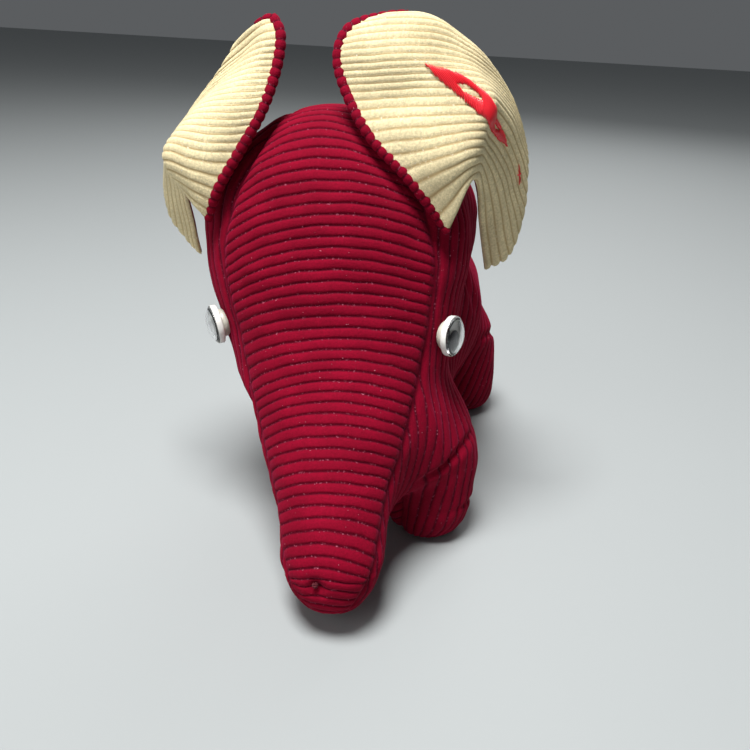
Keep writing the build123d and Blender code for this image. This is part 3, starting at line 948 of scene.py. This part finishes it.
def eye(word):
    point, way, stand_off = EYES[word]
    normal = np.array(way) / np.linalg.norm(way)
    seat = np.array(point) + normal * stand_off
    across = np.cross([0, 0, 1.0], normal)
    across /= np.linalg.norm(across)
    up = np.cross(normal, across)
    inner = EYE_RADIUS - EYE_WALL

    def put(name, shape, offset, material, body):
        verts, faces = shape
        verts = verts + offset
        points = seat + verts[:, :1] * across + verts[:, 1:2] * up + verts[:, 2:] * normal
        obj = mesh_object(name, posed_head(points), faces)
        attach(obj, body)
        dress(obj, material)
        return obj

    cup = lathe([(0, 0), (5.6, 0), (5.9, 0.1), (6.0, 0.35), (6.0, 1.6), (5.9, 1.82),
                 (5.7, CUP_HEIGHT), (5.45, CUP_HEIGHT), (inner + 0.1, 1.8), (inner, 1.65), (inner, 1.1),
                 (inner - 0.2, EYE_BASE), (0, EYE_BASE)])
    shell = put("eye_cup_%s_shell" % word, cup, (0, 0, 0), WHITE, "body")
    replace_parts(shell, "eye_cup_" + word)
    ball = (EYE_RADIUS ** 2 + DOME_HEIGHT ** 2) / (2 * DOME_HEIGHT)
    centre = CUP_HEIGHT + DOME_HEIGHT - ball
    profile = []
    for radius in (ball - EYE_WALL, ball):
        limit = math.acos((CUP_HEIGHT + 0.02 - centre) / radius)
        arc = [(radius * math.sin(t), centre + radius * math.cos(t))
               for t in np.linspace(0, limit, 12)]
        profile += arc[::-1] if radius == ball else arc
    shell = put("eye_dome_%s_shell" % word, lathe(profile), (0, 0, 0), CLEAR, "body")
    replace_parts(shell, "eye_dome_" + word)
    disc = lathe([(0, 0), (3.1, 0), (PUPIL_RADIUS, 0.12), (PUPIL_RADIUS, 0.58), (3.1, PUPIL_THICKNESS),
                  (0, PUPIL_THICKNESS)])
    at = (0, -PUPIL_DROP, EYE_BASE + PUPIL_PLAY)
    pupil = put("eye_pupil_%s_disc" % word, disc, at, BLACK, "pupil_" + word)
    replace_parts(pupil, "eye_pupil_" + word)
    glue = lathe([(0, -3.0), (2.6, -3.0), (4.2, -1.6), (4.35, -0.4), (4.1, -0.03), (0, -0.03)])
    blob = put("eye_glue_%s_blob" % word, glue, (0, 0, 0), GLUE, "body")
    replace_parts(blob, "eye_glue_" + word)


# ---- tail, threads and stuffing ------------------------------------------------------------------------
TAIL_TOP, TAIL_LENGTH = (0.0, 83.4, 57.0), 39.6
TAIL_SIDES, TAIL_RINGS = 72, 70
TAIL_PITCH, TAIL_PILE = 2.9, 0.38


def tail():
    top = np.array(TAIL_TOP)
    rings, phases = [], []
    angles = np.arange(TAIL_SIDES) / TAIL_SIDES * 2 * math.pi
    for share in np.linspace(0, 1, TAIL_RINGS):
        width = 4.4 - 1.3 * smoothstep(share, 0.75, 1.0) - 0.25 * math.sin(9 * share)
        width *= math.sqrt(max(0.02, 1 - max(0.0, (share - 0.93) / 0.07) ** 2))
        thick = 1.25 * (1 - 0.35 * smoothstep(share, 0.85, 1.0))
        y = top[1] + 1.9 * math.sin(math.pi * share) * 0.8
        x = 0.8 * math.sin(2.2 * share)
        c, s = np.cos(angles), np.sin(angles)
        across = np.sign(c) * np.abs(c) ** 0.6 * width
        deep = np.sign(s) * np.abs(s) ** 0.8 * thick
        phase = across / TAIL_PITCH
        lift = TAIL_PILE * (wale_height(phase) - 0.5) * smoothstep(np.abs(s), 0.1, 0.5)
        height = np.full(TAIL_SIDES, top[2] - TAIL_LENGTH * share)
        rings.append(np.stack([x + across, y + deep + np.sign(s) * lift, height], 1))
        phases.append(phase)
    verts, faces = tube(rings)
    obj = mesh_object("tail_cloth", verts + SHIFT, faces)
    add_attribute(obj, "wale", np.concatenate([np.concatenate(phases), [0.5, 0.5]]))
    add_attribute(obj, "seam", np.full(len(verts), FAR))
    dress(obj, RED)
    x, y, z = (top + SHIFT) * MM
    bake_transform(obj)
    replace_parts(obj, "tail")


THREAD_SIDES = 10


def thread_path(name, paths, radius, body):
    verts, faces = [], []
    angles = np.arange(THREAD_SIDES) / THREAD_SIDES * 2 * math.pi
    for path in paths:
        path = catmull(path, 5)
        along = np.gradient(path, axis=0)
        along /= np.linalg.norm(along, axis=1, keepdims=True)
        side = np.cross(along, [0.13, 0.98, 0.1])
        side /= np.linalg.norm(side, axis=1, keepdims=True)
        up = np.cross(side, along)
        rings = [path[k] + radius * (np.cos(angles)[:, None] * side[k] + np.sin(angles)[:, None] * up[k])
                 for k in range(len(path))]
        v, f = tube(rings)
        base = sum(len(x) for x in verts)
        verts.append(v)
        faces += [tuple(i + base for i in face) for face in f]
    obj = mesh_object(name, np.vstack(verts), faces)
    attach(obj, body)
    dress(obj, THREAD_DULL)
    return obj


BELLY_MIDDLE, BELLY_BOTTOM = 25, 19.6           # y of the middle of the closing seam, z of the belly
BELLY_STITCH_GAP = 3.4
BELLY_THREAD, KNOT_THREAD, KNOT_LOOP = 0.3, 0.22, 0.62          # radii


def belly_stitches():
    paths = []
    low = BELLY_BOTTOM
    for count in range(11):
        y = BELLY_MIDDLE + (count - 5) * BELLY_STITCH_GAP
        tilt = RNG.uniform(-0.35, 0.35)
        path = [(-2.1, y - tilt, low + 0.7), (-1.6, y - tilt, low - 0.2), (0, y, low - 0.45),
                (1.6, y + tilt, low - 0.2), (2.1, y + tilt, low + 0.7)]
        paths.append(np.array(path) + SHIFT)
    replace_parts(thread_path("belly_thread_stitches", paths, BELLY_THREAD, "body"), "belly_thread")


def tip_knot():
    centre = KNOT + np.array([0.0, 0.9, 0.5])
    loops = []
    for turn in range(3):
        angles = np.linspace(0, 1.8 * math.pi, 9) + turn * 2.1
        tilt = turn * 1.05
        ring = np.stack([KNOT_LOOP * np.cos(angles), KNOT_LOOP * np.sin(angles) * math.cos(tilt),
                         KNOT_LOOP * np.sin(angles) * math.sin(tilt)], 1)
        loops.append(posed_head(ring + centre))
    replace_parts(thread_path("trunk_tip_knot_thread", loops, KNOT_THREAD, "body"), "trunk_tip_knot")


def wad(name, rings):
    verts, faces = tube(rings)
    centre = verts.mean(0)
    away = verts - centre
    away /= np.maximum(np.linalg.norm(away, axis=1, keepdims=True), 1e-6)
    lumps = 0.5 * wobble(verts, 14, 31) + 0.3 * wobble(verts, 5, 32) - 0.8
    obj = mesh_object(name + "_wad", posed(verts + away * lumps[:, None]), faces)
    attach(obj, "body")
    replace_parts(obj, name)
    dress(obj, FIBRE)


STUFFING_GAP = 4.0             # from the unpuffed cover to the stuffing inside it


def stuffing():
    def shrink(rings):
        return [(y, z, slope, a - STUFFING_GAP, b - STUFFING_GAP) for y, z, slope, a, b in rings]

    head = shrink(HEAD_RINGS)
    wad("stuffing_trunk", ellipse_rings(head[:6])[8:-1])
    wad("stuffing_head", ellipse_rings(head[5:])[1:-3])
    body = shrink([(y, z, 0, a, b) for y, z, a, b in TORSO_RINGS])
    wad("stuffing_body", ellipse_rings(body)[8:-4])
    legs = (("front", FRONT_LEG, FRONT_FOOT, FRONT_HIP), ("hind", HIND_LEG, HIND_FOOT, HIND_HIP))
    for end, table, foot, hip in legs:
        small = [(z, r - STUFFING_GAP) for z, r in table]
        for side, word in ((1, "left"), (-1, "right")):
            rings = leg_rings(small, foot, hip, side)[5:-6]
            wad("stuffing_leg_%s_%s" % (end, word), rings)


def cover():
    for name, cloth in cover_panels().items():
        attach(cloth, "body")
        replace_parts(cloth, name)
        dress(cloth, RED)


def ears():
    made = {"left": ear("left", EAR_LEFT, 1), "right": ear("right", EAR_RIGHT, -1)}
    _, grid, normals = made["left"]
    leaf = leaf_stitches(grid, normals)
    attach(leaf, "ear_left")
    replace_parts(leaf, "ear_embroidery")
    dress(leaf, THREAD)


studio()
stuffing()
cover()
ears()
eye("left")
eye("right")
tail()
belly_stitches()
tip_knot()
